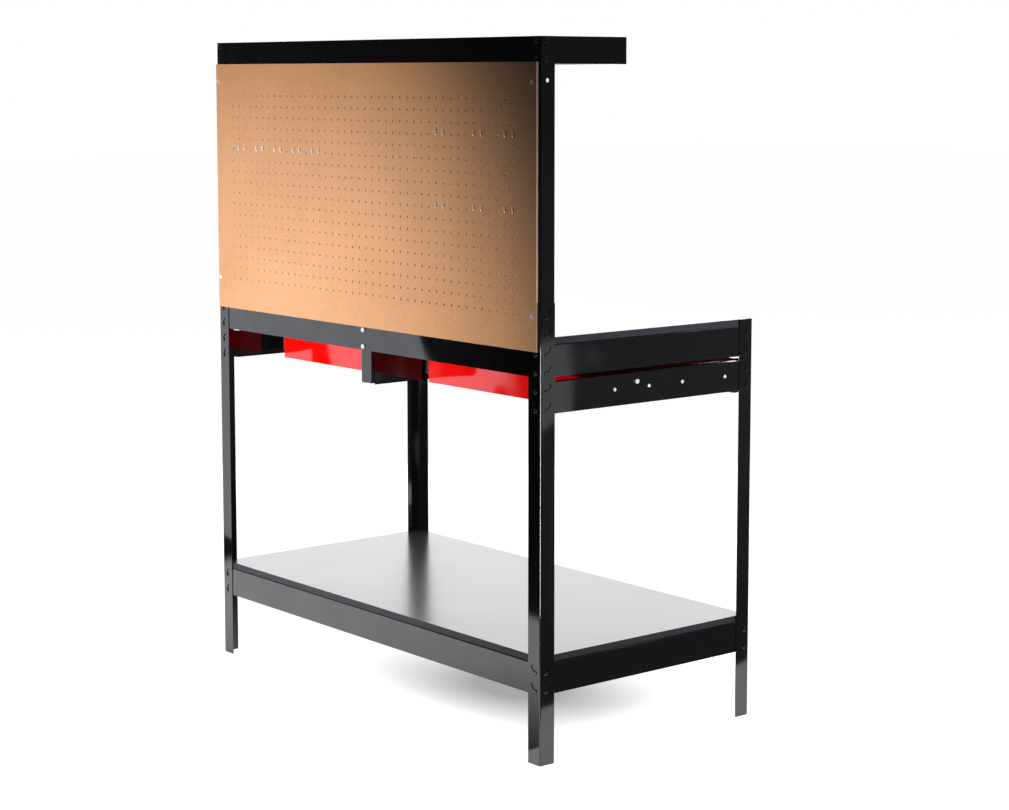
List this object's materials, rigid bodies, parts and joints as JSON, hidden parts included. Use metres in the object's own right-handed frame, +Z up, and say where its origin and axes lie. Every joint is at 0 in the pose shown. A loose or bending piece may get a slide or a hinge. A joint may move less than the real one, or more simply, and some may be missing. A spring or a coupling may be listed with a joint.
{
  "type": "workbench",
  "caption": "Steel workbench with slotted angle legs, riveted beams, worktop and lower shelf boards, drawers on telescopic slides, a pegboard back with hooks and a tray shelf on top.",
  "frame": {"origin": "on the floor under the middle of the bench", "axes": "+Z up, -Y towards the front where the drawers open, +X to the right as seen from the front"},
  "size_m": [1.204, 0.6113, 1.48],
  "materials": {
    "black_enamel": "glossy black enamel on folded sheet steel",
    "drawer_enamel": "glossy red enamel on folded sheet steel",
    "melamine": "dark grey melamine on chipboard, satin",
    "hardboard": "plain brown hardboard, smooth",
    "zinc": "bright zinc plate",
    "slide_steel": "zinc-plated strip steel"
  },
  "bodies": {
    "frame": {"clamp_bolts": "zinc", "clamp_nuts": "zinc", "front_leg_left": "black_enamel", "front_leg_right": "black_enamel", "hanger_bolts": "zinc", "hanger_front": "black_enamel", "hanger_nuts": "zinc", "hanger_rear": "black_enamel", "lower_beam_front": "black_enamel", "lower_beam_left": "black_enamel", "lower_beam_rear": "black_enamel", "lower_beam_right": "black_enamel", "lower_shelf_board": "melamine", "lower_shelf_rivets": "black_enamel", "middle_runner_left": "black_enamel", "middle_runner_right": "black_enamel", "middle_runner_rivets": "black_enamel", "pegboard": "hardboard", "pegboard_bolts": "zinc", "pegboard_nuts": "zinc", "pegboard_spacers": "zinc", "rear_leg_left": "black_enamel", "rear_leg_right": "black_enamel", "side_runner_left": "black_enamel", "side_runner_right": "black_enamel", "side_runner_rivets": "black_enamel", "slide_rails_left": "slide_steel", "slide_rails_right": "slide_steel", "slide_screws": "zinc", "slide_spacer_left": "black_enamel", "slide_spacer_right": "black_enamel", "tool_hooks_lower_left": "zinc", "tool_hooks_right": "zinc", "tool_hooks_upper_left": "zinc", "top_shelf_beam_front": "black_enamel", "top_shelf_beam_left": "black_enamel", "top_shelf_beam_rear": "black_enamel", "top_shelf_beam_right": "black_enamel", "top_shelf_panel": "black_enamel", "top_shelf_rivets": "black_enamel", "upper_post_left": "black_enamel", "upper_post_right": "black_enamel", "upper_post_rivets": "black_enamel", "worktop_beam_front": "black_enamel", "worktop_beam_left": "black_enamel", "worktop_beam_rear": "black_enamel", "worktop_beam_right": "black_enamel", "worktop_board": "melamine", "worktop_rivets": "black_enamel"},
    "left_drawer": {"drawer_box_left": "drawer_enamel", "drawer_front_left": "drawer_enamel", "slide_runners_left": "slide_steel"},
    "left_slide": {"slide_middles_left": "slide_steel"},
    "right_drawer": {"drawer_box_right": "drawer_enamel", "drawer_front_right": "drawer_enamel", "slide_runners_right": "slide_steel"},
    "right_slide": {"slide_middles_right": "slide_steel"}
  },
  "joints": [
    {"name": "left_drawer_slide", "type": "slide", "parent": "frame", "child": "left_drawer", "axis": [0, -1, 0], "range_m": [0, 0.36]},
    {"name": "left_slide_travel", "type": "slide", "parent": "frame", "child": "left_slide", "axis": [0, -1, 0], "range_m": [0, 0.18]},
    {"name": "right_drawer_slide", "type": "slide", "parent": "frame", "child": "right_drawer", "axis": [0, -1, 0], "range_m": [0, 0.36]},
    {"name": "right_slide_travel", "type": "slide", "parent": "frame", "child": "right_slide", "axis": [0, -1, 0], "range_m": [0, 0.18]}
  ],
  "couplings": [
    {"joint": "left_slide_travel", "follows": "left_drawer_slide", "ratio": 0.5},
    {"joint": "right_slide_travel", "follows": "right_drawer_slide", "ratio": 0.5}
  ]
}
